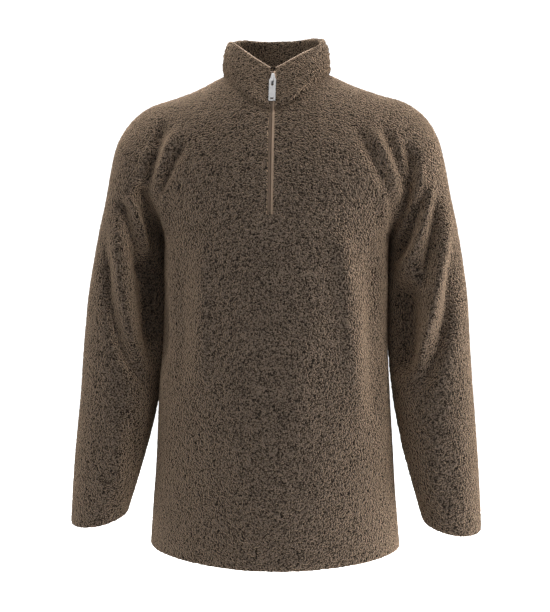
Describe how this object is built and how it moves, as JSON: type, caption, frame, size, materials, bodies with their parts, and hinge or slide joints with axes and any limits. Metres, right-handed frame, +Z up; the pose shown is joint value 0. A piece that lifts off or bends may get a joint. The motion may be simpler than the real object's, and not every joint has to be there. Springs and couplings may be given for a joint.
{
  "type": "half-zip pullover",
  "caption": "Half-zip sherpa fleece pullover with a stand collar, long set-in sleeves and a straight hem, in its worn shape and empty, with a hinged zip pull.",
  "frame": {"origin": "middle of the neck opening, 11 mm above the neck ends of the shoulder seams, where the wearer's neck and shoulders hold the garment up", "axes": "+Z up, -Y towards the front with the zip, +X towards the wearer's left sleeve"},
  "size_m": [0.602, 0.25, 0.772],
  "materials": {
    "fleece": "matt sherpa pile",
    "zip_tape": "matt woven tape",
    "zip_metal": "satin nickel-plated zinc"
  },
  "bodies": {
    "pullover": {"front_panel": "fleece", "back_panel": "fleece", "sleeve_right": "fleece", "sleeve_left": "fleece", "collar": "fleece", "zip_tape_left": "zip_tape", "zip_tape_right": "zip_tape", "zip_chain": "zip_tape", "zip_slider": "zip_metal"},
    "pull": {"zip_pull": "zip_metal"}
  },
  "joints": [
    {"name": "pull_hinge", "type": "hinge", "parent": "pullover", "child": "pull", "pos_m": [0, -0.07898, -0.03247], "axis": [-1, 0, 0], "range_deg": [0, 165]}
  ]
}
